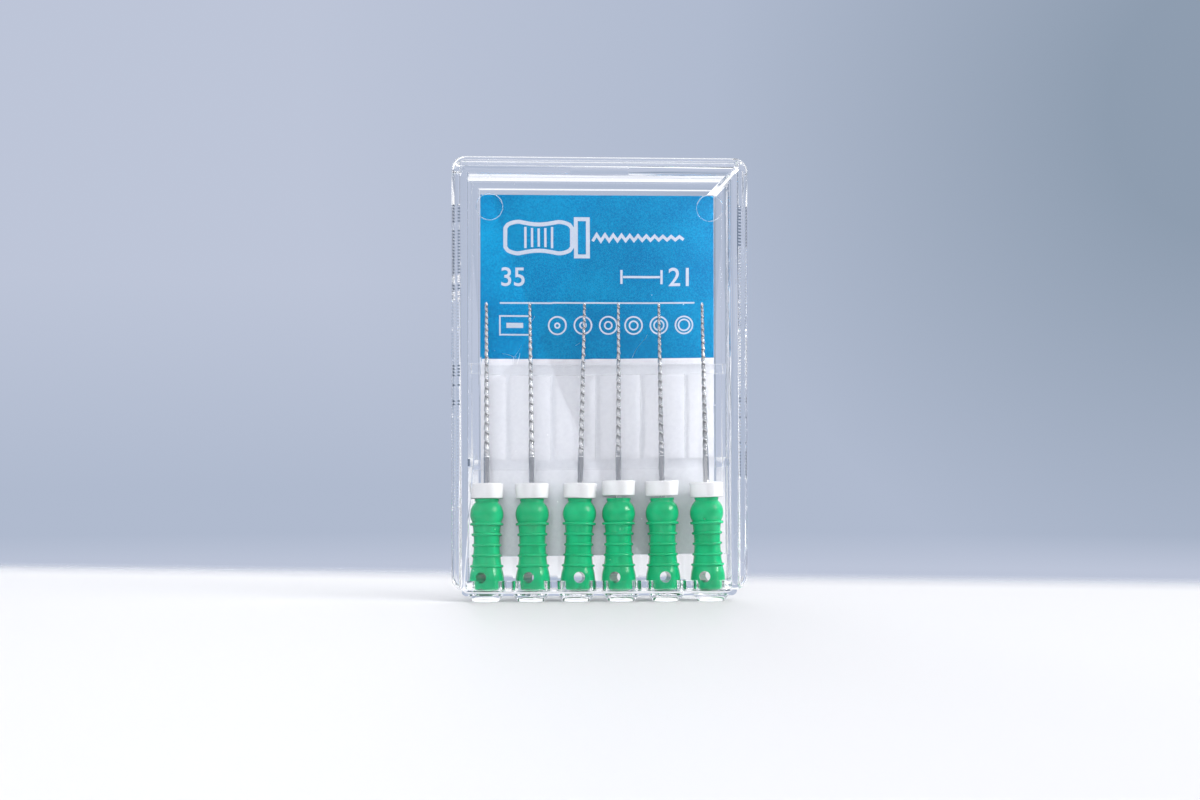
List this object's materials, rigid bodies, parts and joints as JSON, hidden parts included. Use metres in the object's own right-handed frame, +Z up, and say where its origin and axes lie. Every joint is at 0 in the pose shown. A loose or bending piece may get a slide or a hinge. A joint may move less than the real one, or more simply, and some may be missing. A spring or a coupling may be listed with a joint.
{
  "type": "endodontic file pack",
  "caption": "Slim clear hinged case that stands upright and holds endodontic hand files, each with a ringed grip, a tapered steel shaft and a sliding silicone stop.",
  "frame": {"origin": "on the floor under the case's feet, midway across and midway front to back", "axes": "+Z up along the files, +X to the right across the files, -Y towards the front of the cover"},
  "size_m": [0.0314, 0.0072, 0.0473],
  "materials": {
    "clear_tray": "gloss",
    "clear_cover": "gloss",
    "clear_spacer": "gloss",
    "printed_card": "satin",
    "green_handle": "satin",
    "steel_wire": "polished",
    "silicone_stop": "satin"
  },
  "bodies": {
    "tray": {"tray": "clear_tray", "label_card": "printed_card", "spacer_frame": "clear_spacer"},
    "cover": {"cover": "clear_cover"},
    "file_1": {"file_handle_1": "green_handle", "file_shaft_1": "steel_wire"},
    "stop_1": {"stop_1": "silicone_stop"},
    "file_2": {"file_handle_2": "green_handle", "file_shaft_2": "steel_wire"},
    "stop_2": {"stop_2": "silicone_stop"},
    "file_3": {"file_handle_3": "green_handle", "file_shaft_3": "steel_wire"},
    "stop_3": {"stop_3": "silicone_stop"},
    "file_4": {"file_handle_4": "green_handle", "file_shaft_4": "steel_wire"},
    "stop_4": {"stop_4": "silicone_stop"},
    "file_5": {"file_handle_5": "green_handle", "file_shaft_5": "steel_wire"},
    "stop_5": {"stop_5": "silicone_stop"},
    "file_6": {"file_handle_6": "green_handle", "file_shaft_6": "steel_wire"},
    "stop_6": {"stop_6": "silicone_stop"}
  },
  "joints": [
    {"name": "cover_hinge", "type": "hinge", "parent": "tray", "child": "cover", "pos_m": [0, 0.0027, 0.0464], "axis": [-1, 0, 0], "range_deg": [0, 170]},
    {"name": "file_turn_1", "type": "hinge", "parent": "tray", "child": "file_1", "pos_m": [-0.012, 0, 0.0062], "axis": [0, 0, 1], "continuous": true},
    {"name": "stop_slide_1", "type": "slide", "parent": "file_1", "child": "stop_1", "axis": [0, 0, 1], "range_m": [0, 0.016]},
    {"name": "file_turn_2", "type": "hinge", "parent": "tray", "child": "file_2", "pos_m": [-0.0071, 0, 0.0062], "axis": [-0.0105, 0, 0.9999], "continuous": true},
    {"name": "stop_slide_2", "type": "slide", "parent": "file_2", "child": "stop_2", "axis": [-0.0105, 0, 0.9999], "range_m": [0, 0.016]},
    {"name": "file_turn_3", "type": "hinge", "parent": "tray", "child": "file_3", "pos_m": [-0.00215, 0, 0.0062], "axis": [0.0244, 0, 0.9997], "continuous": true},
    {"name": "stop_slide_3", "type": "slide", "parent": "file_3", "child": "stop_3", "axis": [0.0244, 0, 0.9997], "range_m": [0, 0.016]},
    {"name": "file_turn_4", "type": "hinge", "parent": "tray", "child": "file_4", "pos_m": [0.00215, 0, 0.0062], "axis": [-0.0017, 0, 1], "continuous": true},
    {"name": "stop_slide_4", "type": "slide", "parent": "file_4", "child": "stop_4", "axis": [-0.0017, 0, 1], "range_m": [-0.00024, 0.016]},
    {"name": "file_turn_5", "type": "hinge", "parent": "tray", "child": "file_5", "pos_m": [0.0069, 0, 0.0062], "axis": [-0.0175, 0, 0.9998], "continuous": true},
    {"name": "stop_slide_5", "type": "slide", "parent": "file_5", "child": "stop_5", "axis": [-0.0175, 0, 0.9998], "range_m": [-0.00019, 0.016]},
    {"name": "file_turn_6", "type": "hinge", "parent": "tray", "child": "file_6", "pos_m": [0.0117, 0, 0.0062], "axis": [-0.0227, 0, 0.9997], "continuous": true},
    {"name": "stop_slide_6", "type": "slide", "parent": "file_6", "child": "stop_6", "axis": [-0.0227, 0, 0.9997], "range_m": [0, 0.016]}
  ]
}
